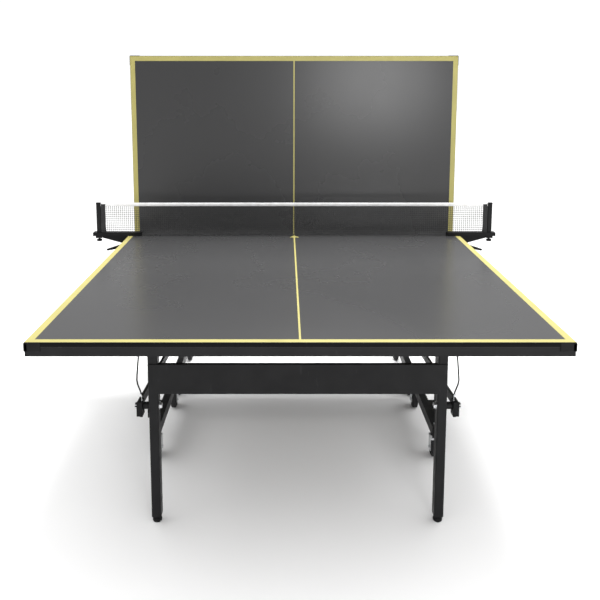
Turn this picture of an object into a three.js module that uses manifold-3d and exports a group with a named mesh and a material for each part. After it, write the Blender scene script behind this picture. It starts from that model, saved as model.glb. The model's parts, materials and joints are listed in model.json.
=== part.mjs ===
// A folding table tennis table in its playback position: one half down for play, with the net
// clamped to its net end, and the other half folded up behind the net. Millimetres, +Z up.
// X runs across the table and Y along it. The player stands at the -Y end, and the floor is z = 0.
import * as THREE from "three";
import { mergeVertices } from "three/addons/utils/BufferGeometryUtils.js";
import Module from "manifold-3d";

const wasm = await Module();
wasm.setup();

// Playing surface and its frame
const TABLE_WIDTH = 1525;
const HALF_LENGTH = 1370;
const SURFACE_HEIGHT = 760;
const BOARD_THICKNESS = 15;
const APRON_HEIGHT = 26;
const APRON_WALL = 20;
const CLEARANCE = 0.25; // between pieces that touch

// Each half folds about a pivot on its trolley. Places in a half are given from the point on
// the floor under that pivot, with +Y towards the net.
const PIVOT_HEIGHT = 650;
const NET_END = 439; // the board's net end, from the pivot
const PLAYER_END = NET_END - HALF_LENGTH;
const LEG_PIVOT = [-580, 50]; // y and z from the fold pivot
const LINK_DROP = 290; // the link's pivots are this far below the fold pivot and the leg pivot
const NEAR_PIVOT_Y = -440; // from the net line
const FAR_PIVOT_Y = 230;
const FAR_FOLD = Math.PI / 2;
const NET_LINE_Y = 467.5; // brings the origin to the middle of the whole table's outline

// Frame tubes
const RAIL_INNER = 585;
const RAIL_OUTER = 615;
const BRACKET_INNER = 606;
const BRACKET_OUTER = 612;
const LEG_BEAM_DEPTH = 40;
const LEG_BEAM_HEIGHT = 18.75;
const CLEVIS_INNER = 492.5;
const CLEVIS_OUTER = 498.5;

// Legs
const LEG_INNER = 457;
const LEG_OUTER = 489;
const LEG_FRONT = -21; // from the leg pivot
const LEG_BACK = 19;
const LEG_BOTTOM = 22; // above the floor
const LEG_TOP = 10; // above the leg pivot
const LEG_CORNER = 5;
const PANEL_HEIGHT = 100;
const PANEL_THICKNESS = 3;
const PANEL_TOP = -140; // from the leg pivot

// Links, locks and cables
const LINK_INNER = 520;
const LINK_OUTER = 530;
const LINK_WIDTH = 28;
const PIN_RADIUS = 6;
const FOLD_PIN_RADIUS = 8;
const PIN_CLEARANCE = 0.5;
const LOCK_INNER = 510;
const LOCK_MIDDLE = 519.5; // the plate between the leg and the link
const LOCK_OUTER = 529;
const CABLE_RADIUS = 2.5;

// Release handle
const HANDLE_SETBACK = 28; // its hinge, from the player's end
const HANDLE_Z = 77; // from the fold pivot
const HANDLE_PIN = 3;

// Trolley
const BASE_INNER = 530;
const BASE_OUTER = 560;
const BASE_BOTTOM = 100;
const BASE_TOP = 140;
const UPRIGHT_INNER = 580;
const UPRIGHT_OUTER = 605;
const CASTER_X = 545;
const CASTER_Y = [-176, 250]; // swivel axes
const WHEEL_RADIUS = 37.5;
const WHEEL_WIDTH = 24;
const TRAIL = 20;

// Net
const NET_HEIGHT = 152.5;
const NET_Y = 430; // from the fold pivot
const POST_X = 900;

const ROUND = 16;
const QUARTER = Math.PI / 2;

const colours = {
  board: [0x33363a, 0.45, 0.0],
  frame: [0x17181a, 0.5, 0.4],
  zinc: [0xb8bcc0, 0.35, 0.9],
  plastic: [0x141416, 0.6, 0.0],
  tyre: [0x26272a, 0.8, 0.0],
  netting: [0x1c1c1e, 0.9, 0.0],
};

function solidOf(geometry) {
  const bare = new THREE.BufferGeometry();
  bare.setAttribute("position", geometry.getAttribute("position").clone());
  if (geometry.index) {
    bare.setIndex(geometry.index.clone());
  }
  const merged = mergeVertices(bare, 1e-4);
  return new wasm.Manifold(new wasm.Mesh({
    numProp: 3,
    vertProperties: new Float32Array(merged.getAttribute("position").array),
    triVerts: new Uint32Array(merged.index.array),
  }));
}

function geometryOf(solid) {
  const mesh = solid.getMesh();
  const geometry = new THREE.BufferGeometry();
  geometry.setAttribute("position", new THREE.BufferAttribute(mesh.vertProperties, 3));
  geometry.setIndex(new THREE.BufferAttribute(mesh.triVerts, 1));
  return geometry;
}

function join(first, ...others) {
  return others.reduce((whole, part) => whole.add(part), first);
}

function cut(whole, ...tools) {
  return tools.reduce((left, tool) => left.subtract(tool), whole);
}

// A box between two corners, whatever their order along each axis.
function block(low, high) {
  const size = low.map((value, axis) => Math.abs(high[axis] - value));
  const middle = low.map((value, axis) => (high[axis] + value) / 2);
  const geometry = new THREE.BoxGeometry(...size);
  geometry.translate(...middle);
  return solidOf(geometry);
}

// A cylinder along X, from x0 to x1, about the line through (y, z).
function barX(x0, x1, y, z, radius, sides = ROUND) {
  const geometry = new THREE.CylinderGeometry(radius, radius, Math.abs(x1 - x0), sides);
  geometry.rotateZ(QUARTER);
  geometry.translate((x0 + x1) / 2, y, z);
  return solidOf(geometry);
}

function barY(x, y0, y1, z, radius, sides = ROUND) {
  const geometry = new THREE.CylinderGeometry(radius, radius, Math.abs(y1 - y0), sides);
  geometry.translate(x, (y0 + y1) / 2, z);
  return solidOf(geometry);
}

function barZ(x, y, z0, z1, radius, sides = ROUND) {
  const geometry = new THREE.CylinderGeometry(radius, radius, z1 - z0, sides);
  geometry.rotateX(QUARTER);
  geometry.translate(x, y, (z0 + z1) / 2);
  return solidOf(geometry);
}

// An outline drawn for the right side, turned over for the left.
function mirrored(outline, s) {
  return s < 0 ? outline.map(([x, z]) => [-x, z]).reverse() : outline;
}

// An outline in X and Z, pushed along +Y from y0 to y1.
function plateXZ(outline, y0, y1) {
  const shape = new THREE.Shape(outline.map(([x, z]) => new THREE.Vector2(x, z)));
  const geometry = new THREE.ExtrudeGeometry(shape, { depth: y1 - y0, bevelEnabled: false });
  geometry.rotateX(QUARTER);
  geometry.translate(0, y1, 0);
  return solidOf(geometry);
}

function roundedRectangle(x0, x1, y0, y1, radius) {
  const shape = new THREE.Shape();
  shape.moveTo(x0 + radius, y0);
  shape.lineTo(x1 - radius, y0);
  shape.absarc(x1 - radius, y0 + radius, radius, -QUARTER, 0);
  shape.absarc(x1 - radius, y1 - radius, radius, 0, QUARTER);
  shape.absarc(x0 + radius, y1 - radius, radius, QUARTER, Math.PI);
  shape.absarc(x0 + radius, y0 + radius, radius, Math.PI, 3 * QUARTER);
  return shape;
}

function upright(shape, z0, z1, bevel = 0) {
  const geometry = new THREE.ExtrudeGeometry(shape, {
    depth: z1 - z0 - 2 * bevel,
    bevelEnabled: bevel > 0,
    bevelThickness: bevel,
    bevelSize: bevel,
    bevelOffset: -bevel,
    bevelSegments: 1,
    curveSegments: 2,
  });
  geometry.translate(0, 0, z0 + bevel);
  return solidOf(geometry);
}

function piece(name, solid, colour) {
  const [tint, roughness, metalness] = colours[colour];
  const material = new THREE.MeshStandardMaterial({ color: tint, roughness, metalness });
  const mesh = new THREE.Mesh(geometryOf(solid), material);
  mesh.name = name;
  return mesh;
}

// The side of the whole table that a half's own side s is on: the far half is turned about Z.
function sideName(s, turned) {
  return s * (turned ? -1 : 1) < 0 ? "left" : "right";
}

// The board and the frame under it, from the fold pivot, with the board level.
const SURFACE = SURFACE_HEIGHT - PIVOT_HEIGHT;
const BOARD_UNDERSIDE = SURFACE - BOARD_THICKNESS;
const FRAME_TOP = BOARD_UNDERSIDE - CLEARANCE;
const APRON_BOTTOM = BOARD_UNDERSIDE - APRON_HEIGHT;

function board(prefix) {
  const edge = TABLE_WIDTH / 2;
  const low = [-edge, PLAYER_END, BOARD_UNDERSIDE];
  return piece(`${prefix}_board`, block(low, [edge, NET_END, SURFACE]), "board");
}

// The apron with its two long tubes: a slab with a bay on each side and one between.
function ladder() {
  const edge = TABLE_WIDTH / 2;
  const bay = (x0, x1) => block(
    [x0, PLAYER_END + APRON_WALL, APRON_BOTTOM - 1],
    [x1, NET_END - APRON_WALL, FRAME_TOP + 1],
  );
  return cut(
    block([-edge, PLAYER_END, APRON_BOTTOM], [edge, NET_END, FRAME_TOP]),
    bay(-edge + APRON_WALL, -RAIL_OUTER),
    bay(-RAIL_INNER, RAIL_INNER),
    bay(RAIL_OUTER, edge - APRON_WALL),
  );
}

function topFrame(prefix) {
  const overlap = 1;
  const [legY, legZ] = LEG_PIVOT;
  const beamTop = FRAME_TOP - overlap;
  const beamBottom = FRAME_TOP - LEG_BEAM_HEIGHT;
  const beamFront = legY - LEG_BEAM_DEPTH / 2;
  const beamBack = legY + LEG_BEAM_DEPTH / 2;
  const beamEnd = RAIL_INNER + overlap;
  const wall = PLAYER_END + APRON_WALL - overlap;
  const handleY = PLAYER_END + HANDLE_SETBACK;
  let frame = join(
    ladder(),
    block([-beamEnd, beamFront, beamBottom], [beamEnd, beamBack, beamTop]),
    block([-70, wall, 85], [70, handleY + 8, beamTop]),
  );
  for (const s of [-1, 1]) {
    const bracket = cut(
      block([s * BRACKET_INNER, -25, -20], [s * BRACKET_OUTER, 25, APRON_BOTTOM + overlap]),
      barX(s * 600, s * 620, 0, 0, FOLD_PIN_RADIUS + PIN_CLEARANCE),
    );
    const clevis = cut(
      block(
        [s * CLEVIS_INNER, beamFront + 2, legZ - 15],
        [s * CLEVIS_OUTER, beamBack - 2, beamBottom + overlap],
      ),
      barX(s * 490, s * 500, legY, legZ, PIN_RADIUS + PIN_CLEARANCE),
    );
    const cableGuide = block(
      [s * 503, legY - 6, legZ + 8],
      [s * 511, legY + 6, beamBottom + overlap],
    );
    const handleLug = cut(
      block([s * 63, handleY - 6, HANDLE_Z - 7], [s * 68, handleY + 6, 86]),
      barX(s * 60, s * 70, handleY, HANDLE_Z, HANDLE_PIN + PIN_CLEARANCE, 12),
    );
    frame = join(frame, bracket, clevis, cableGuide, handleLug);
  }
  return piece(`${prefix}_top_frame`, frame, "frame");
}

// A paddle behind the player's end of the apron. Its rear edge, pulled down, pulls both lock cables.
function releaseHandle(prefix) {
  const hingeY = PLAYER_END + HANDLE_SETBACK;
  const handle = join(
    block([-61, hingeY - 5, HANDLE_Z - 4], [61, hingeY + 50, HANDLE_Z + 2]),
    block([-61, hingeY + 44, HANDLE_Z - 8], [61, hingeY + 50, HANDLE_Z - 2]),
    barX(-67, 67, hingeY, HANDLE_Z, HANDLE_PIN, 12),
  );
  return piece(`${prefix}_release_handle`, handle, "plastic");
}

// The leg frame, from the leg pivot, with the legs upright.
const LEG_FOOT_LEVEL = -(PIVOT_HEIGHT + LEG_PIVOT[1]);
const LEG_CENTRE_X = (LEG_INNER + LEG_OUTER) / 2;
const LEG_CENTRE_Y = (LEG_FRONT + LEG_BACK) / 2;

function leg(prefix, s, side) {
  const bottom = LEG_FOOT_LEVEL + LEG_BOTTOM;
  const outline = roundedRectangle(
    Math.min(s * LEG_INNER, s * LEG_OUTER),
    Math.max(s * LEG_INNER, s * LEG_OUTER),
    LEG_FRONT,
    LEG_BACK,
    LEG_CORNER,
  );
  const studHole = barZ(s * LEG_CENTRE_X, LEG_CENTRE_Y, bottom - 1, bottom + 34, 6.5);
  const tube = cut(upright(outline, bottom, LEG_TOP, 2), studHole);
  const solid = join(
    tube,
    barX(s * 486, s * 502, 0, 0, PIN_RADIUS),
    barX(s * 488, s * 509.5, 0, -LINK_DROP, 12),
    barX(s * 505, s * 536, 0, -LINK_DROP, PIN_RADIUS),
    barX(s * (LINK_OUTER + 1), s * 537, 0, -LINK_DROP, 10, 12),
    barX(s * 449, s * 458, 0, -LINK_DROP, 9, 6),
  );
  return piece(`${prefix}_leg_${side}`, solid, "frame");
}

function crossPanel(prefix) {
  const back = LEG_FRONT - CLEARANCE;
  const halfWidth = LEG_OUTER - 2;
  const bottom = PANEL_TOP - PANEL_HEIGHT;
  const flange = 14;
  const between = LEG_INNER - 1;
  const panel = join(
    block([-halfWidth, back - PANEL_THICKNESS, bottom], [halfWidth, back, PANEL_TOP]),
    block([-between, back - 1, bottom], [between, back + flange, bottom + PANEL_THICKNESS]),
    block([-between, back - 1, PANEL_TOP - PANEL_THICKNESS], [between, back + flange, PANEL_TOP]),
  );
  return piece(`${prefix}_cross_panel`, panel, "frame");
}

function foot(prefix, s, side) {
  const stud = 6;
  const profile = [
    [0, 0], [12, 0], [15, 3], [16, 8], [15, 14], [11, 18], [stud, 18], [stud, 52], [0, 52],
  ];
  const geometry = new THREE.LatheGeometry(profile.map(([r, z]) => new THREE.Vector2(r, z)), 20);
  geometry.rotateX(QUARTER);
  geometry.translate(s * LEG_CENTRE_X, LEG_CENTRE_Y, LEG_FOOT_LEVEL);
  return piece(`${prefix}_foot_${side}`, solidOf(geometry), "plastic");
}

// The lock slides up 10 mm on the leg's bolt and frees the link. Its nose passes in front of the
// link's end, and the link swings down behind it.
function lock(prefix, s, side) {
  const top = -LINK_DROP + 20;
  const bottom = -LINK_DROP - 29;
  const plate = [
    [LOCK_INNER, bottom - 3], [LOCK_MIDDLE, bottom - 3], [LOCK_MIDDLE, top + 2], [LOCK_INNER, top - 4],
  ];
  const nose = [
    [LOCK_OUTER - 13, bottom], [LOCK_OUTER, bottom], [LOCK_OUTER, top], [LOCK_INNER, top],
    [LOCK_INNER, bottom + 20],
  ];
  const slotTop = -LINK_DROP + PIN_RADIUS + 1;
  const slotBottom = -LINK_DROP - PIN_RADIUS - 12;
  const solid = cut(
    join(
      plateXZ(mirrored(plate, s), -19, 17),
      plateXZ(mirrored(nose, s), -22, -17),
    ),
    block([s * 505, -PIN_RADIUS - 1, slotBottom], [s * 525, PIN_RADIUS + 1, slotTop]),
  );
  return piece(`${prefix}_lock_${side}`, solid, "plastic");
}

// The lock's cable, from just above the lock to the guide at the leg pivot.
const cableRoute = [
  [514.5, -4, -257],
  [516.5, -4, -243],
  [522, -4, -228],
  [528.5, -4, -206],
  [527, -4, -178],
  [521.5, -4, -120],
  [515, -3, -60],
  [507, 0, 2],
];

function cable(prefix, s, side) {
  const points = cableRoute.map(([x, y, z]) => new THREE.Vector3(s * x, y, z));
  const path = new THREE.CatmullRomCurve3(points);
  const section = new THREE.Shape();
  section.absarc(0, 0, CABLE_RADIUS, 0, 2 * Math.PI);
  const sweep = { steps: 18, extrudePath: path, curveSegments: 4 };
  const geometry = new THREE.ExtrudeGeometry(section, sweep);
  return piece(`${prefix}_cable_${side}`, solidOf(geometry), "plastic");
}

// The link, from its pivot on the trolley to the bolt on the leg, with the board level.
function link(prefix, s, side) {
  const [endY, endZ] = LEG_PIVOT;
  const length = Math.hypot(endY, endZ);
  const half = LINK_WIDTH / 2;
  const bar = new THREE.BoxGeometry(LINK_OUTER - LINK_INNER, length, LINK_WIDTH);
  bar.rotateX(Math.atan2(endZ, endY) - Math.PI);
  bar.translate(s * (LINK_INNER + LINK_OUTER) / 2, endY / 2, endZ / 2);
  const hole = PIN_RADIUS + PIN_CLEARANCE;
  const solid = cut(
    join(
      solidOf(bar),
      barX(s * LINK_INNER, s * LINK_OUTER, 0, 0, half),
      barX(s * LINK_INNER, s * LINK_OUTER, endY, endZ, half),
    ),
    barX(s * (LINK_INNER - 1), s * (LINK_OUTER + 1), 0, 0, hole),
    barX(s * (LINK_INNER - 1), s * (LINK_OUTER + 1), endY, endZ, hole),
  );
  return piece(`${prefix}_link_${side}`, solid, "frame");
}

// The trolley's side: a base rail on two casters, and the upright with both pivots.
function sideFrame(prefix, s, side) {
  const railEnds = [CASTER_Y[0] - 30, CASTER_Y[1] + 30];
  const linkPivot = PIVOT_HEIGHT - LINK_DROP;
  const solid = join(
    block([s * BASE_INNER, railEnds[0], BASE_BOTTOM], [s * BASE_OUTER, railEnds[1], BASE_TOP]),
    block([s * BASE_INNER, -40, BASE_BOTTOM], [s * UPRIGHT_OUTER, 40, BASE_TOP]),
    block([s * UPRIGHT_INNER, -20, BASE_BOTTOM], [s * UPRIGHT_OUTER, 20, PIVOT_HEIGHT + 18]),
    barX(s * 602, s * 618, 0, PIVOT_HEIGHT, FOLD_PIN_RADIUS),
    barX(s * (LINK_OUTER + 1), s * (UPRIGHT_INNER + 2), 0, linkPivot, 12),
    barX(s * 516, s * 540, 0, linkPivot, PIN_RADIUS),
  );
  return piece(`${prefix}_side_frame_${side}`, solid, "frame");
}

function crossbar(prefix) {
  const end = BASE_INNER - CLEARANCE;
  return piece(`${prefix}_crossbar`, block([-end, 220, 105], [end, 260, 135]), "frame");
}

function casterFork(name) {
  const top = BASE_BOTTOM - CLEARANCE;
  const cheekInner = WHEEL_WIDTH / 2 + 2;
  const cheekOuter = cheekInner + 3;
  const bridgeBottom = 2 * WHEEL_RADIUS + 7;
  let fork = join(
    barZ(0, 0, bridgeBottom + 4, top, 20),
    block([-cheekOuter, -16, bridgeBottom], [cheekOuter, TRAIL + 14, bridgeBottom + 6]),
    barX(-cheekOuter, cheekOuter, TRAIL, WHEEL_RADIUS, 4, 12),
  );
  for (const s of [-1, 1]) {
    fork = join(fork, block([s * cheekInner, 4, 28], [s * cheekOuter, TRAIL + 14, bridgeBottom + 1]));
  }
  return piece(name, fork, "zinc");
}

function wheel(name) {
  const half = WHEEL_WIDTH / 2;
  const groove = half - 3; // the hub's face, and where the tread's shoulders start
  const bore = 4.5;
  const profile = [
    [bore, -half], [15, -half], [18, -groove], [30, -groove], [31, -half], [WHEEL_RADIUS, -groove],
    [WHEEL_RADIUS, groove], [31, half], [30, groove], [18, groove], [15, half], [bore, half],
    [bore, -half],
  ];
  const geometry = new THREE.LatheGeometry(profile.map(([r, x]) => new THREE.Vector2(r, x)), 20);
  geometry.rotateZ(-QUARTER);
  geometry.translate(0, TRAIL, WHEEL_RADIUS);
  return piece(name, solidOf(geometry), "tyre");
}

function trolley(prefix, turned) {
  const group = new THREE.Group();
  group.add(crossbar(prefix));
  for (const s of [-1, 1]) {
    group.add(sideFrame(prefix, s, sideName(s, turned)));
    for (const y of CASTER_Y) {
      const corner = `${y > 0 ? "net" : "outer"}_${sideName(s, turned)}`;
      const caster = new THREE.Group();
      caster.add(casterFork(`${prefix}_fork_${corner}`), wheel(`${prefix}_wheel_${corner}`));
      caster.position.set(s * CASTER_X, y, 0);
      group.add(caster);
    }
  }
  return group;
}

function legFrame(prefix, turned) {
  const group = new THREE.Group();
  group.add(crossPanel(prefix));
  for (const s of [-1, 1]) {
    const side = sideName(s, turned);
    group.add(leg(prefix, s, side), foot(prefix, s, side));
    group.add(lock(prefix, s, side), cable(prefix, s, side));
  }
  return group;
}

// One half of the table, with its board turned up by the fold angle.
function tableHalf(prefix, fold, turned) {
  const half = new THREE.Group();
  const top = new THREE.Group();
  top.position.z = PIVOT_HEIGHT;
  top.rotation.x = -fold;
  top.add(board(prefix), topFrame(prefix), releaseHandle(prefix));
  const legs = legFrame(prefix, turned);
  legs.position.set(0, ...LEG_PIVOT);
  legs.rotation.x = fold;
  top.add(legs);
  const links = new THREE.Group();
  links.position.z = PIVOT_HEIGHT - LINK_DROP;
  links.rotation.x = -fold;
  for (const s of [-1, 1]) {
    links.add(link(prefix, s, sideName(s, turned)));
  }
  half.add(top, links, trolley(prefix, turned));
  half.rotation.z = turned ? Math.PI : 0;
  return { half, top };
}

// The clamp that grips the board's side at the net end and carries a net post.
function netBracket(s, side) {
  const armBottom = SURFACE + 0.5;
  const armTop = armBottom + 15.5;
  const web = [
    [768, 52], [782, 52], [796, 76], [884, 100], [888, armBottom + 1], [768, armBottom + 1],
  ];
  const solid = cut(
    join(
      block([s * 705, NET_Y - 18, armBottom], [s * 925, NET_Y + 18, armTop]),
      plateXZ(mirrored(web, s), NET_Y - 6, NET_Y + 6),
      block([s * 886, NET_Y - 13, 100], [s * 914, NET_Y + 13, armTop]),
      barY(s * 775, NET_Y - 40, NET_Y, 60, 4, 12),
    ),
    block([s * 889, NET_Y - 7, 106], [s * 911, NET_Y + 7, armTop + 1]),
  );
  return piece(`net_bracket_${side}`, solid, "plastic");
}

// The sprung lower jaw, with its lever pointing out and towards the player.
function netLever(s, side) {
  const jaw = [[736, 52], [784, 50], [790, 60], [784, 68.2], [736, 68.2]];
  const paddle = new THREE.BoxGeometry(24, 92, 13);
  const position = paddle.getAttribute("position");
  for (let i = 0; i < position.count; i += 1) {
    const tip = position.getY(i) < 0;
    position.setX(i, position.getX(i) * (tip ? 0.35 : 1));
    position.setZ(i, position.getZ(i) * (tip ? 0.5 : 1));
  }
  paddle.translate(0, -40, 0);
  paddle.rotateX(0.04);
  paddle.rotateZ(s * 0.72);
  paddle.translate(s * 787, NET_Y - 25, 67);
  const solid = cut(
    join(plateXZ(mirrored(jaw, s), NET_Y - 36, NET_Y - 7), solidOf(paddle)),
    barY(s * 775, NET_Y - 60, NET_Y, 60, 4.5, 12),
  );
  return piece(`net_lever_${side}`, solid, "plastic");
}

function netKnob(s, side) {
  const profile = [
    [0, 84], [9, 84], [12, 86], [12, 92], [9, 94], [4, 94], [4, 99.5], [0, 99.5],
  ];
  const geometry = new THREE.LatheGeometry(profile.map(([r, z]) => new THREE.Vector2(r, z)), 16);
  geometry.rotateX(QUARTER);
  geometry.translate(s * POST_X, NET_Y, 0);
  return piece(`net_knob_${side}`, solidOf(geometry), "plastic");
}

function netPost(s, side) {
  const outline = roundedRectangle(s * POST_X - 10, s * POST_X + 10, NET_Y - 6, NET_Y + 6, 3);
  return piece(`net_post_${side}`, upright(outline, 107, SURFACE + NET_HEIGHT, 1), "frame");
}

function net() {
  const top = SURFACE + NET_HEIGHT;
  const wide = POST_X - 11;
  const narrow = 702;
  const overArm = SURFACE + 18;
  const overBoard = SURFACE + 2;
  const outline = [
    [-wide, overArm], [-narrow, overArm], [-narrow, overBoard], [narrow, overBoard],
    [narrow, overArm], [wide, overArm], [wide, top], [-wide, top],
  ];
  return piece("net", plateXZ(outline, NET_Y - 1.5, NET_Y + 1.5), "netting");
}

const near = tableHalf("near", 0, false);
near.half.position.y = NEAR_PIVOT_Y;
near.top.add(net());
for (const s of [-1, 1]) {
  const side = sideName(s, false);
  near.top.add(netBracket(s, side), netLever(s, side), netKnob(s, side), netPost(s, side));
}

const far = tableHalf("far", FAR_FOLD, true);
far.half.position.y = FAR_PIVOT_Y;

const table = new THREE.Group();
table.add(near.half, far.half);
table.position.y = NET_LINE_Y;

export default table;
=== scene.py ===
"""A folding table tennis table in its playback position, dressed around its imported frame."""
import json
import math

import bmesh
import bpy
from mathutils import Matrix, Vector


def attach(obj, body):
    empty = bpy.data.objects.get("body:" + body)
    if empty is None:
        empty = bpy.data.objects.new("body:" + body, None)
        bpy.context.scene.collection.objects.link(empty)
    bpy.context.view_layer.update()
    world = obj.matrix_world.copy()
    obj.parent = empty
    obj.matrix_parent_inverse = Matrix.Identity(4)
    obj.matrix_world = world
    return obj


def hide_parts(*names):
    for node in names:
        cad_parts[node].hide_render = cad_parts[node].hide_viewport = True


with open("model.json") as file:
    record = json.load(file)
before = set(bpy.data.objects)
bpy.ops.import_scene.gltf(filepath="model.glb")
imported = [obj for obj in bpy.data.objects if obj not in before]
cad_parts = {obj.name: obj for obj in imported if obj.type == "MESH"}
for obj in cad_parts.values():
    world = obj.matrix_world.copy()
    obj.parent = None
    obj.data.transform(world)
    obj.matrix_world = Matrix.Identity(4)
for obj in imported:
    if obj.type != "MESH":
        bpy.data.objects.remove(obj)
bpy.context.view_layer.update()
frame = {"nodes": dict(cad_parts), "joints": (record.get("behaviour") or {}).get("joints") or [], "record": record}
joints = {joint["name"]: joint for joint in frame["joints"]}

# Driving sizes, in metres
WIDTH = 1.525
HALF_LENGTH = 1.370
NET_END = 0.439  # the board's net end, from the fold pivot
PLAYER_END = NET_END - HALF_LENGTH
SURFACE = 0.110  # the playing surface, above the fold pivot
BOARD_BOTTOM = 0.095
FRAME_BOTTOM = 0.069
LINE_WIDTH = 0.022
CENTRE_LINE_WIDTH = 0.006
PAINT = 0.0003  # the film's thickness above the board
PIVOT_HEIGHT = 0.65  # the fold pivot, above the floor
LINK_DROP = 0.290  # the link's front pivot, below the leg's pivot
CABLE_X = 0.5145
CABLE_Y = -0.004
NET_PLANE = 0.430
NET_TOP = SURFACE + 0.1525
NET_LOW_EDGE = SURFACE + 0.0185  # past the foot cord's ends, above the clamps
NET_CORD_HEIGHT = SURFACE + 0.004
NET_CORD_REACH = 0.700  # half the length of the cord along the netting's foot
POST_X = 0.900
MESH_PITCH = 0.009
THREAD = 0.0012
CASTER_X = 0.545
CASTER_PLACES = ((-0.176, "outer"), (0.250, "net"))  # along the rail from the fold pivot, and the name
CASTER_TRAIL = 0.020
WHEEL_HEIGHT = 0.0375
SIDES = ((-1, "left"), (1, "right"))


# --- Camera, light and floor ---------------------------------------------------------------

def add_camera():
    tilt_down = 7.87
    data = bpy.data.cameras.new("camera")
    data.sensor_width = 36.0
    data.lens = 43.4
    data.shift_x = 0.0249
    data.shift_y = -0.205
    data.clip_end = 60.0
    camera = bpy.data.objects.new("camera", data)
    camera.location = (-0.042, -2.818, 1.485)
    camera.rotation_euler = (math.radians(90 - tilt_down), 0.0, 0.0)
    bpy.context.scene.collection.objects.link(camera)
    bpy.context.scene.camera = camera


def add_area_light(name, place, aim, size, power):
    data = bpy.data.lights.new(name, "AREA")
    data.shape = "RECTANGLE"
    data.size, data.size_y = size
    data.energy = power
    light = bpy.data.objects.new(name, data)
    light.location = place
    light.rotation_euler = (Vector(aim) - Vector(place)).to_track_quat("-Z", "Y").to_euler()
    bpy.context.scene.collection.objects.link(light)


def add_sun(name, turn, power, spread):
    data = bpy.data.lights.new(name, "SUN")
    data.energy = power
    data.angle = math.radians(spread)
    light = bpy.data.objects.new(name, data)
    light.rotation_euler = tuple(math.radians(angle) for angle in turn)
    bpy.context.scene.collection.objects.link(light)


def add_world():
    """A white surround for the eye, and a dimmer one to light the table by."""
    as_light = 0.50
    to_camera = 1.05
    world = bpy.data.worlds.new("studio")
    world.use_nodes = True
    tree = world.node_tree
    background = tree.nodes["Background"]
    background.inputs["Color"].default_value = (1.0, 1.0, 1.0, 1.0)
    path = tree.nodes.new("ShaderNodeLightPath")
    strength = tree.nodes.new("ShaderNodeMapRange")
    strength.inputs["To Min"].default_value = as_light
    strength.inputs["To Max"].default_value = to_camera
    tree.links.new(path.outputs["Is Camera Ray"], strength.inputs["Value"])
    tree.links.new(strength.outputs["Result"], background.inputs["Strength"])
    bpy.context.scene.world = world


# --- Materials -----------------------------------------------------------------------------

class Paint:
    """A principled material with noise-driven colour, roughness and bump."""

    def __init__(self, name, colour, roughness, metallic=0.0, sheen=0.0, specular=0.5):
        self.material = bpy.data.materials.new(name)
        self.material.use_nodes = True
        self.tree = self.material.node_tree
        self.shader = self.tree.nodes["Principled BSDF"]
        self.shader.inputs["Base Color"].default_value = (*colour, 1.0)
        self.shader.inputs["Roughness"].default_value = roughness
        self.shader.inputs["Metallic"].default_value = metallic
        self.shader.inputs["Sheen Weight"].default_value = sheen
        self.shader.inputs["Specular IOR Level"].default_value = specular
        self.colour = colour
        self.place = self.tree.nodes.new("ShaderNodeTexCoord").outputs["Object"]

    def node(self, kind, **inputs):
        made = self.tree.nodes.new(kind)
        for key, value in inputs.items():
            made.inputs[key].default_value = value
        return made

    def link(self, output, socket):
        self.tree.links.new(output, socket)

    def stretched(self, scale):
        mapping = self.tree.nodes.new("ShaderNodeMapping")
        mapping.inputs["Scale"].default_value = scale
        self.link(self.place, mapping.inputs["Vector"])
        return mapping.outputs["Vector"]

    def noise(self, scale, detail=4.0, stretch=None):
        made = self.node("ShaderNodeTexNoise", Scale=scale, Detail=detail)
        self.link(self.stretched(stretch) if stretch else self.place, made.inputs["Vector"])
        return made.outputs["Fac"]

    def ramp(self, fac, low, high, start, end):
        made = self.tree.nodes.new("ShaderNodeMapRange")
        made.inputs["From Min"].default_value = low
        made.inputs["From Max"].default_value = high
        made.inputs["To Min"].default_value = start
        made.inputs["To Max"].default_value = end
        self.link(fac, made.inputs["Value"])
        return made.outputs["Result"]

    def mix(self, fac, first, second):
        made = self.tree.nodes.new("ShaderNodeMix")
        made.data_type = "RGBA"
        self.link(fac, made.inputs["Factor"])
        for socket, value in ((made.inputs["A"], first), (made.inputs["B"], second)):
            if isinstance(value, tuple):
                socket.default_value = (*value, 1.0)
            else:
                self.link(value, socket)
        return made.outputs["Result"]

    def vary_colour(self, scale, amount):
        fac = self.ramp(self.noise(scale), 0.3, 0.7, 0.0, 1.0)
        dark = tuple(max(0.0, c * (1 - amount)) for c in self.colour)
        light = tuple(min(1.0, c * (1 + amount)) for c in self.colour)
        result = self.mix(fac, dark, light)
        self.link(result, self.shader.inputs["Base Color"])
        return result

    def vary_roughness(self, scale, low, high):
        fac = self.ramp(self.noise(scale, 5.0), 0.3, 0.7, low, high)
        self.link(fac, self.shader.inputs["Roughness"])

    def bump(self, height, strength, distance):
        made = self.tree.nodes.new("ShaderNodeBump")
        made.inputs["Strength"].default_value = strength
        made.inputs["Distance"].default_value = distance
        self.link(height, made.inputs["Height"])
        self.link(made.outputs["Normal"], self.shader.inputs["Normal"])

    def weave(self, count, strength):
        """Crossed threads: two sine bands over each other, about count threads to the metre."""
        bands = []
        for direction in ("X", "Z"):
            wave = self.node("ShaderNodeTexWave", Scale=count / math.pi)
            wave.bands_direction = direction
            self.link(self.place, wave.inputs["Vector"])
            bands.append(wave.outputs["Fac"])
        made = self.tree.nodes.new("ShaderNodeMath")
        made.operation = "MULTIPLY"
        self.link(bands[0], made.inputs[0])
        self.link(bands[1], made.inputs[1])
        self.bump(made.outputs[0], strength, 0.0004)


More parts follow.
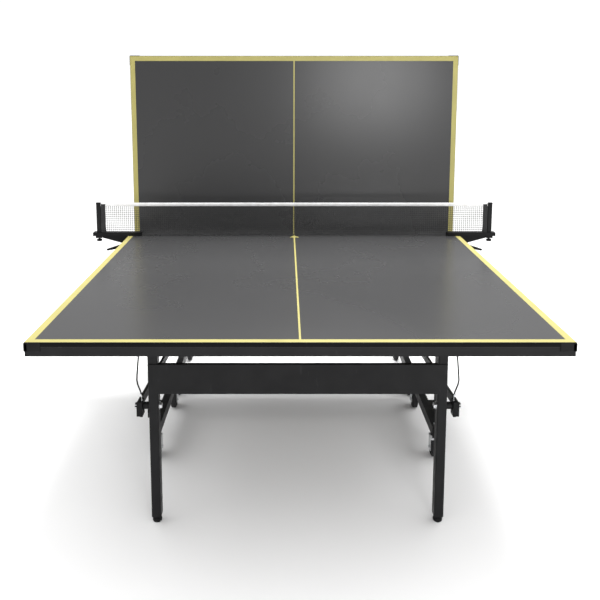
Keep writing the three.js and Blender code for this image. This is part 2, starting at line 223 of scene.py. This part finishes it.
def board_material(name, up, shade):
    """Satin paint over the board's top, raw chipboard below and a black band round the edge."""
    # shade sets the top's grey, and with it each board's painted light and shade.
    paint = Paint(name, (shade, shade, shade * 1.02), 0.27, specular=0.36)
    top = paint.vary_colour(3.0, 0.03)
    chips = paint.node("ShaderNodeTexVoronoi", Scale=260.0)
    paint.link(paint.place, chips.inputs["Vector"])
    chip_edge = paint.ramp(chips.outputs["Distance"], 0.0, 0.6, 0.0, 1.0)
    under = paint.mix(chip_edge, (0.055, 0.05, 0.045), (0.12, 0.105, 0.09))
    band = paint.mix(paint.noise(40.0), (0.010, 0.010, 0.011), (0.018, 0.018, 0.019))
    facing = paint.tree.nodes.new("ShaderNodeVectorMath")
    facing.operation = "DOT_PRODUCT"
    facing.inputs[1].default_value = up
    normal = paint.tree.nodes.new("ShaderNodeTexCoord").outputs["Normal"]
    paint.link(normal, facing.inputs[0])
    is_top = paint.ramp(facing.outputs["Value"], 0.45, 0.55, 0.0, 1.0)
    is_under = paint.ramp(facing.outputs["Value"], -0.45, -0.55, 0.0, 1.0)
    paint.link(paint.mix(is_top, paint.mix(is_under, band, under), top), paint.shader.inputs["Base Color"])
    paint.vary_roughness(2.2, 0.26, 0.29)
    paint.bump(paint.noise(900.0, 2.0), 0.10, 0.0002)
    return paint.material


def simple(name, colour, roughness, variation=0.12, scale=25.0, grain=1200.0, grain_strength=0.15, **rest):
    """A plain moulded or painted surface: blotches of the given scale, under a fine grain."""
    paint = Paint(name, colour, roughness, **rest)
    paint.vary_colour(scale, variation)
    paint.vary_roughness(scale * 1.7, roughness * 0.85, min(1.0, roughness * 1.2))
    paint.bump(paint.noise(grain, 3.0), grain_strength, 0.0003)
    return paint.material


def powder_coat(name):
    """Black powder coat with its fine orange peel, and rubbed patches along the tubes."""
    paint = Paint(name, (0.010, 0.010, 0.0105), 0.42, specular=0.13)
    base = paint.vary_colour(14.0, 0.15)
    scuff = paint.ramp(paint.noise(55.0, 8.0, (1.0, 1.0, 0.3)), 0.66, 0.74, 0.0, 0.5)
    paint.link(paint.mix(scuff, base, (0.022, 0.022, 0.023)), paint.shader.inputs["Base Color"])
    paint.vary_roughness(30.0, 0.36, 0.52)
    paint.bump(paint.noise(420.0, 2.0), 0.18, 0.0004)
    return paint.material


def zinc_material():
    paint = Paint("zinc", (0.62, 0.63, 0.64), 0.3, metallic=1.0)
    paint.vary_colour(90.0, 0.12)
    paint.vary_roughness(60.0, 0.22, 0.45)
    paint.bump(paint.noise(700.0, 3.0), 0.1, 0.0002)
    return paint.material


def cloth_material(name, colour, count, strength=0.5):
    paint = Paint(name, colour, 0.85, sheen=0.3)
    paint.vary_colour(40.0, 0.15)
    paint.vary_roughness(50.0, 0.75, 0.95)
    paint.weave(count, strength)
    return paint.material


def floor_material():
    paint = Paint("floor", (0.93, 0.93, 0.93), 0.75, specular=0.2)
    paint.vary_colour(1.5, 0.01)
    paint.bump(paint.noise(60.0), 0.02, 0.001)
    return paint.material


MATERIALS = {
    # One paint on both boards: the near board's lighter grey and the far board's darker grey are painted light and
    # shade.
    "board_near": board_material("board_near", (0.0, 0.0, 1.0), 0.046),
    "board_far": board_material("board_far", (0.0, -1.0, 0.0), 0.035),
    "line": simple("line", (0.40, 0.36, 0.122), 0.42, variation=0.05, scale=9.0, specular=0.3),
    "frame": powder_coat("frame_coat"),
    "zinc": zinc_material(),
    "plastic": simple("plastic", (0.006, 0.006, 0.0063), 0.45, specular=0.12),
    "gloss": simple("gloss", (0.004, 0.004, 0.0042), 0.28, grain_strength=0.04, specular=0.06),
    "hub": simple("hub", (0.11, 0.11, 0.115), 0.5),
    "tyre": simple("tyre", (0.018, 0.018, 0.019), 0.75, grain=500.0, grain_strength=0.3, specular=0.3),
    "thread": cloth_material("thread", (0.012, 0.012, 0.012), 2500.0),
    "tape": cloth_material("tape", (0.95, 0.95, 0.945), 1400.0, 0.08),
    "sleeve": cloth_material("sleeve", (0.014, 0.014, 0.015), 900.0),
    "floor": floor_material(),
}


# --- Mesh helpers --------------------------------------------------------------------------

class Builder:
    """Collects simple solids in one local frame, then makes them one piece on a body."""

    def __init__(self):
        self.mesh = bmesh.new()

    def box(self, low, high, bevel=0.001, segments=2):
        centre = [(a + b) / 2 for a, b in zip(low, high)]
        size = [abs(b - a) for a, b in zip(low, high)]
        part = bmesh.new()
        bmesh.ops.create_cube(part, size=1.0)
        part.transform(Matrix.LocRotScale(Vector(centre), None, Vector(size)))
        if bevel:
            width = min(bevel, min(size) * 0.45)
            bmesh.ops.bevel(
                part, geom=part.edges[:], offset=width, segments=segments, affect="EDGES", profile=0.5,
            )
        return self.take(part)

    def rod(self, start, end, radius, sides=24, bevel=0.0):
        start, end = Vector(start), Vector(end)
        part = bmesh.new()
        bmesh.ops.create_cone(
            part, cap_ends=True, segments=sides, radius1=radius, radius2=radius, depth=(end - start).length,
        )
        if bevel:
            rims = [e for e in part.edges if abs(e.verts[0].co.z - e.verts[1].co.z) < 1e-7]
            bmesh.ops.bevel(part, geom=rims, offset=bevel, segments=2, affect="EDGES", profile=0.5)
        turn = (end - start).to_track_quat("Z", "Y").to_matrix().to_4x4()
        part.transform(Matrix.Translation((start + end) / 2) @ turn)
        return self.take(part)

    def spin(self, profile, place, axis="Z", sides=32):
        """A closed surface of revolution from (radius, height) points, both ends on the axis."""
        part = bmesh.new()
        rings = []
        for radius, height in profile:
            if radius < 1e-9:
                rings.append([part.verts.new((0.0, 0.0, height))])
            else:
                ring = []
                for i in range(sides):
                    angle = 2 * math.pi * i / sides
                    ring.append(part.verts.new((radius * math.cos(angle), radius * math.sin(angle), height)))
                rings.append(ring)
        for lower, upper in zip(rings, rings[1:]):
            for i in range(sides):
                corners = [lower[i % len(lower)], lower[(i + 1) % len(lower)],
                           upper[(i + 1) % len(upper)], upper[i % len(upper)]]
                corners = list(dict.fromkeys(corners))
                if len(corners) > 2:
                    part.faces.new(corners)
        bmesh.ops.recalc_face_normals(part, faces=part.faces[:])
        turn = {"Z": Matrix(), "X": Matrix.Rotation(math.pi / 2, 4, "Y")}[axis]
        part.transform(Matrix.Translation(place) @ turn)
        return self.take(part)

    def take(self, part):
        mesh = bpy.data.meshes.new("part")
        part.to_mesh(mesh)
        part.free()
        self.mesh.from_mesh(mesh)
        bpy.data.meshes.remove(mesh)
        return self

    def make(self, name, material, body, slot, place=None):
        if place is not None:
            self.mesh.transform(place)
        mesh = bpy.data.meshes.new(name)
        self.mesh.to_mesh(mesh)
        self.mesh.free()
        return finish_mesh(name, mesh, material, body)


def finish_mesh(name, mesh, material, body):
    """Shades the mesh, and makes it a piece that rides on the body."""
    mesh.materials.append(MATERIALS[material])
    mesh.shade_smooth()
    mesh.set_sharp_from_angle(angle=math.radians(35))
    piece = bpy.data.objects.new(name, mesh)
    bpy.context.scene.collection.objects.link(piece)
    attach(piece, body)
    return piece


# --- Places --------------------------------------------------------------------------------

def at(joint, turn=None):
    """The joint's place in the world, turned as its half of the table stands."""
    place = Matrix.Translation(joints[joint]["pos_m"])
    return place if turn is None else place @ turn


HALF_TURN = Matrix.Rotation(math.pi, 4, "Z")
FOLDED = HALF_TURN @ Matrix.Rotation(-math.pi / 2, 4, "X")
PLACES = {
    "near": {"top": at("near_fold"), "legs": at("near_leg_fold"), "trolley": at("near_fold"),
             "links": at("near_link_turn")},
    "far": {"top": at("far_unfold", FOLDED), "legs": at("far_leg_fold", HALF_TURN),
            "trolley": at("far_unfold", HALF_TURN), "links": at("far_link_turn", FOLDED)},
}


def world_side(half, s):
    """The side's name in the world: the far half faces the other way."""
    return "left" if s * (1 if half == "near" else -1) < 0 else "right"


# --- The boards ----------------------------------------------------------------------------

def add_lines(half):
    """The painted borders and the centre line, a paint film above the surface."""
    place = PLACES[half]["top"]
    body = f"{half}_top"
    edge = WIDTH / 2
    centre = CENTRE_LINE_WIDTH / 2
    low, high = SURFACE - 0.0002, SURFACE + PAINT
    strips = {
        "line_player_end": ((-edge, PLAYER_END), (edge, PLAYER_END + LINE_WIDTH)),
        "line_side_a": ((-edge, PLAYER_END + LINE_WIDTH), (-edge + LINE_WIDTH, NET_END)),
        "line_side_b": ((edge - LINE_WIDTH, PLAYER_END + LINE_WIDTH), (edge, NET_END)),
        "line_centre": ((-centre, PLAYER_END + LINE_WIDTH), (centre, NET_END)),
    }
    for name, ((x0, y0), (x1, y1)) in strips.items():
        strip = Builder().box((x0, y0, low), (x1, y1, high), 0.0001, 1)
        strip.make(f"{half}_{name}", "line", body, "board", place)


def add_corners(half):
    """Moulded caps over the two player-end corners of the apron."""
    place = PLACES[half]["top"]
    proud = 0.0032
    arm, thickness, bevel = 0.045, 0.012, 0.0045
    low, high = SURFACE - 0.028, SURFACE - 0.0006
    y_out = PLAYER_END - proud
    for s, _ in SIDES:
        caps = Builder()
        x_out = s * (WIDTH / 2 + proud)
        for across, along in ((thickness, arm), (arm, thickness)):
            x0, x1 = sorted((x_out, s * (WIDTH / 2 - across)))
            caps.box((x0, y_out, low), (x1, PLAYER_END + along, high), bevel, 4)
        caps.make(f"{half}_corner_{world_side(half, s)}", "plastic", f"{half}_top", "plastic", place)


def add_edge_moulding(half):
    """The glossy rounded moulding round the board's edge, over the apron."""
    place = PLACES[half]["top"]
    edge = WIDTH / 2
    proud = 0.0016
    low, high = BOARD_BOTTOM + 0.0006, SURFACE - 0.0012
    back = 0.004
    bars = (
        ((-edge, PLAYER_END - proud, low), (edge, PLAYER_END + back, high)),
        ((-edge - proud, PLAYER_END - proud, low), (-edge + back, NET_END, high)),
        ((edge - back, PLAYER_END - proud, low), (edge + proud, NET_END, high)),
    )
    moulding = Builder()
    for start, end in bars:
        moulding.box(start, end, 0.0035, 4)
    moulding.make(f"{half}_edge_moulding", "gloss", f"{half}_top", "plastic", place)


def add_frame_screws(half):
    """Pan-head screws, up through the tubes, apron and end rails into the board."""
    tube_x = 0.600
    inset = 0.010
    place = PLACES[half]["top"]
    screws = Builder()
    head = [(0.0, -0.0022), (0.003, -0.002), (0.0048, -0.0008), (0.005, 0.0), (0.0, 0.0)]
    for s, _ in SIDES:
        for i in range(7):
            y = PLAYER_END + 0.10 + i * 0.19
            screws.spin(head, (s * tube_x, y, FRAME_BOTTOM), sides=16)
            screws.spin(head, (s * (WIDTH / 2 - inset), y, FRAME_BOTTOM), sides=16)
    for x in (-0.45, -0.15, 0.15, 0.45):
        for y in (PLAYER_END + inset, NET_END - inset):
            screws.spin(head, (x, y, FRAME_BOTTOM), sides=16)
    screws.make(f"{half}_frame_screws", "zinc", f"{half}_top", "zinc", place)


# --- Legs, locks and links -----------------------------------------------------------------

def add_leg_details(half):
    """The legs' bolts, the cable's ferrule, and the wire from the cable to the lock."""
    place = PLACES[half]["legs"]
    body = f"{half}_legs"
    for s, _ in SIDES:
        side = world_side(half, s)
        bolts = Builder()
        bolts.rod((s * 0.4485, 0, -LINK_DROP), (s * 0.4565, 0, -LINK_DROP), 0.0105, 6, 0.001)
        bolts.rod((s * 0.4555, 0, -LINK_DROP), (s * 0.4568, 0, -LINK_DROP), 0.0130, 32)
        bolts.rod((s * 0.5308, 0, -LINK_DROP), (s * 0.5372, 0, -LINK_DROP), 0.0108, 6, 0.001)
        bolts.rod((s * 0.5000, 0, 0), (s * 0.5028, 0, 0), 0.0085, 24, 0.0008)
        bolts.make(f"{half}_leg_bolts_{side}", "zinc", body, "zinc", place)
        ferrule = Builder()
        ferrule_end = (s * (CABLE_X + 0.003), CABLE_Y, -0.2485)
        ferrule.rod((s * CABLE_X, CABLE_Y, -0.2580), ferrule_end, 0.0032, 20, 0.0005)
        ferrule.make(f"{half}_cable_ferrule_{side}", "zinc", body, "zinc", place)
        wire = Builder()
        wire.rod((s * CABLE_X, CABLE_Y, -0.2745), (s * CABLE_X, CABLE_Y, -0.2575), 0.0009, 10)
        wire.rod((s * CABLE_X, CABLE_Y, -0.2730), (s * CABLE_X, CABLE_Y, -0.2690), 0.0030, 16, 0.0004)
        wire.make(f"{half}_lock_wire_{side}", "zinc", f"{half}_lock_{side}", "zinc", place)


# --- Trolleys ------------------------------------------------------------------------------

def add_trolley_details(half):
    """The trolley's tube caps and bolts, and what shows of each caster. Heights are from the floor."""
    place = PLACES[half]["trolley"] @ Matrix.Translation((0, 0, -PIVOT_HEIGHT))
    body = f"{half}_trolley"
    for s, _ in SIDES:
        side = world_side(half, s)
        caps = Builder()
        x0, x1 = sorted((s * 0.5285, s * 0.5615))
        caps.box((x0, -0.2085, 0.0985), (x1, -0.202, 0.1415), 0.002, 3)
        caps.box((x0, 0.276, 0.0985), (x1, 0.2825, 0.1415), 0.002, 3)
        x0, x1 = sorted((s * 0.5785, s * 0.6060))
        caps.box((x0, -0.0215, 0.664), (x1, 0.0215, 0.6705), 0.002, 3)
        caps.make(f"{half}_tube_caps_{side}", "plastic", body, "plastic", place)
        bolts = Builder()
        bolts.rod((s * 0.6130, 0, PIVOT_HEIGHT), (s * 0.6145, 0, PIVOT_HEIGHT), 0.0140, 32)
        bolts.rod((s * 0.6143, 0, PIVOT_HEIGHT), (s * 0.6205, 0, PIVOT_HEIGHT), 0.0115, 6, 0.001)
        link_height = PIVOT_HEIGHT - LINK_DROP
        bolts.rod((s * 0.5140, 0, link_height), (s * 0.5185, 0, link_height), 0.0090, 24, 0.001)
        for y in (-0.025, 0.025):
            bolts.rod((s * 0.6045, y, 0.120), (s * 0.6085, y, 0.120), 0.0065, 6, 0.0006)
        for y, _ in CASTER_PLACES:
            bolts.rod((s * CASTER_X, y, 0.1395), (s * CASTER_X, y, 0.1450), 0.0080, 6, 0.0008)
        bolts.make(f"{half}_trolley_bolts_{side}", "zinc", body, "zinc", place)
        for y, corner in CASTER_PLACES:
            centre = (s * CASTER_X, y + CASTER_TRAIL, WHEEL_HEIGHT)
            add_caster_details(half, f"{corner}_{side}", centre, place)


def add_caster_details(half, name, centre, place):
    """A wheel's hub plates and spokes, and the nut and the head of its axle."""
    x, y, z = centre
    plate_x = 0.0105
    spokes = 6
    hub = Builder()
    for out in (-1, 1):
        face = x + out * plate_x
        hub.rod((face, y, z), (face + out * 0.0018, y, z), 0.0165, 32, 0.0006)
    for i in range(spokes):
        angle = 2 * math.pi * i / spokes
        spoke_y = y + 0.024 * math.cos(angle)
        spoke_z = z + 0.024 * math.sin(angle)
        hub.rod((x - plate_x, spoke_y, spoke_z), (x + plate_x, spoke_y, spoke_z), 0.0022, 10)
    hub.make(f"{half}_hub_{name}", "hub", f"{half}_wheel_{name}", "tyre", place)
    axle = Builder()
    axle.rod((x - 0.0205, y, z), (x - 0.0168, y, z), 0.0062, 6, 0.0006)
    axle.rod((x + 0.0168, y, z), (x + 0.0205, y, z), 0.0062, 20, 0.0012)
    axle.make(f"{half}_axle_{name}", "zinc", f"{half}_fork_{name}", "zinc", place)


# --- Net -----------------------------------------------------------------------------------

def add_net():
    """The netting, string by string, with the pieces sewn to it."""
    place = PLACES["near"]["top"]
    body = "net_carrier"
    half_width = POST_X - 0.011
    low = NET_LOW_EDGE
    top = NET_TOP - 0.002
    columns = round(2 * half_width / MESH_PITCH)
    rows = round((top - low) / MESH_PITCH)
    radius = THREAD / math.sqrt(2)
    threads = Builder()
    for i in range(columns + 1):
        x = -half_width + 2 * half_width * i / columns
        bottom = NET_CORD_HEIGHT if abs(x) < NET_CORD_REACH else low
        threads.rod((x, NET_PLANE, bottom), (x, NET_PLANE, top), radius, 4)
    for i in range(rows + 1):
        z = low + (top - low) * i / rows
        threads.rod((-half_width, NET_PLANE, z), (half_width, NET_PLANE, z), radius, 4)
    extra_row = SURFACE + 0.0105
    threads.rod((-NET_CORD_REACH, NET_PLANE, extra_row), (NET_CORD_REACH, NET_PLANE, extra_row), radius, 4)
    netting = threads.make("net_mesh", "thread", body, "netting", place)
    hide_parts("net")
    tape = add_tape(body, place)
    cord = Builder()
    cord_end = (NET_CORD_REACH, NET_PLANE, NET_CORD_HEIGHT)
    cord.rod((-NET_CORD_REACH, NET_PLANE, NET_CORD_HEIGHT), cord_end, 0.0016, 12)
    cord = cord.make("net_bottom_cord", "sleeve", body, "netting", place)
    sleeves = [add_sleeve(s, side, body, place) for s, side in SIDES]
    add_centre_mark()


def add_centre_mark():
    """The small raised triangle where the centre line meets the net."""
    low, high = SURFACE - 0.0001, SURFACE + 0.0009
    outline = ((-0.021, 0.385), (0.021, 0.385), (0.0, 0.424))
    verts = [(x, y, z) for z in (low, high) for x, y in outline]
    mesh = bpy.data.meshes.new("net_centre_mark")
    mesh.from_pydata(verts, [], [(2, 1, 0), (3, 4, 5), (0, 1, 4, 3), (1, 2, 5, 4), (2, 0, 3, 5)])
    mesh.transform(PLACES["near"]["top"])
    finish_mesh("net_centre_mark", mesh, "line", "near_top")


def add_tape(body, place):
    """The white band folded over the top of the netting."""
    half_width = POST_X - 0.0105
    thickness = 0.0013
    outline = [(thickness, NET_TOP - 0.015)]
    outline += [(thickness * math.cos(a), NET_TOP - thickness + thickness * math.sin(a))
                for a in (math.pi * i / 6 for i in range(7))]
    outline += [(-thickness, NET_TOP - 0.015)]
    steps = 60
    verts = []
    faces = []
    for i in range(steps + 1):
        x = -half_width + 2 * half_width * i / steps
        verts += [(x, NET_PLANE + y, z) for y, z in outline]
    count = len(outline)
    for i in range(steps):
        for j in range(count - 1):
            a = i * count + j
            faces.append((a, a + 1, a + count + 1, a + count))
    mesh = bpy.data.meshes.new("net_tape")
    mesh.from_pydata(verts, [], faces)
    mesh.transform(place)
    tape = finish_mesh("net_tape", mesh, "tape", body)
    skin = tape.modifiers.new("thickness", "SOLIDIFY")
    skin.thickness = 0.0006
    skin.offset = 0.0
    return tape


def add_sleeve(s, side, body, place):
    """The black cloth hem down the netting's end, slack at its inner edge."""
    levels = 14
    low = SURFACE + 0.0175
    top = NET_TOP - 0.006
    turns = 12
    outer = POST_X - 0.0108
    verts = []
    for i in range(levels + 1):
        share = i / levels
        z = low + (top - low) * share
        inner = POST_X - 0.034 + 0.003 * math.sin(math.pi * share) + 0.001 * math.sin(9 * share)
        middle = (outer + inner) / 2
        for j in range(turns):
            angle = 2 * math.pi * j / turns
            x = middle + (outer - inner) / 2 * math.cos(angle)
            y = (0.0028 + 0.0006 * math.sin(7 * share + 1)) * math.sin(angle)
            verts.append((s * x, NET_PLANE + y, z))
    faces = [tuple(range(turns))[::-1], tuple(levels * turns + j for j in range(turns))]
    for i in range(levels):
        for j in range(turns):
            a, b = i * turns + j, i * turns + (j + 1) % turns
            faces.append((a, b, b + turns, a + turns))
    mesh = bpy.data.meshes.new(f"net_sleeve_{side}")
    mesh.from_pydata(verts, [], faces)
    if s < 0:
        mesh.flip_normals()
    mesh.transform(place)
    return finish_mesh(f"net_sleeve_{side}", mesh, "sleeve", body)


def add_net_fittings():
    """Rubber pads between the clamps and the board, and caps on the posts."""
    place = PLACES["near"]["top"]
    for s, side in SIDES:
        pads = Builder()
        x0, x1 = sorted((s * 0.708, s * 0.760))
        low = (x0, NET_PLANE - 0.015, SURFACE + 0.0001)
        high = (x1, NET_END - 0.001, SURFACE + 0.0008)
        pads.box(low, high, 0.0003, 1)
        pads.make(f"net_pad_{side}", "tyre", "near_top", "tyre", place)
        cap = Builder()
        cap.box(
            (s * POST_X - 0.0105, NET_PLANE - 0.0065, NET_TOP - 0.004),
            (s * POST_X + 0.0105, NET_PLANE + 0.0065, NET_TOP + 0.0015), 0.002, 3,
        )
        cap.make(f"net_post_cap_{side}", "plastic", "net_carrier", "plastic", place)


# --- CAD nodes' finishes -------------------------------------------------------------------

def finish_nodes():
    """Gives each CAD node its slot's material. Each board has its own grey, with light and shade painted in for
    the way it faces.
    """
    looks = {"netting": "thread"}
    for entry in frame["record"]["subparts"]:
        name, slot = entry["node"], entry["material_slot"]
        key = "board_" + name.split("_")[0] if slot == "board" else looks.get(slot, slot)
        node = frame["nodes"][name]
        for place in node.material_slots:
            place.material = MATERIALS[key]


def add_floor():
    mesh = bpy.data.meshes.new("floor")
    far = 30.0
    mesh.from_pydata([(-far, -far, 0), (far, -far, 0), (far, far, 0), (-far, far, 0)], [], [(0, 1, 2, 3)])
    mesh.materials.append(MATERIALS["floor"])
    floor = bpy.data.objects.new("floor", mesh)
    bpy.context.scene.collection.objects.link(floor)


add_camera()
add_world()
add_sun("overhead", (4, 3, 0), 2.9, 130)
add_area_light("softbox", (0.95, -4.2, 1.5), (0.35, 0.58, 1.4), (1.1, 0.9), 45.0)
add_area_light("ceiling", (0.35, 0.8, 3.1), (0.15, -0.4, 0.76), (1.6, 0.8), 110.0)
add_floor()
finish_nodes()
for half_name in ("near", "far"):
    add_lines(half_name)
    add_corners(half_name)
    add_edge_moulding(half_name)
    add_frame_screws(half_name)
    add_leg_details(half_name)
    add_trolley_details(half_name)
add_net()
add_net_fittings()
bpy.context.scene.view_settings.view_transform = "Standard"
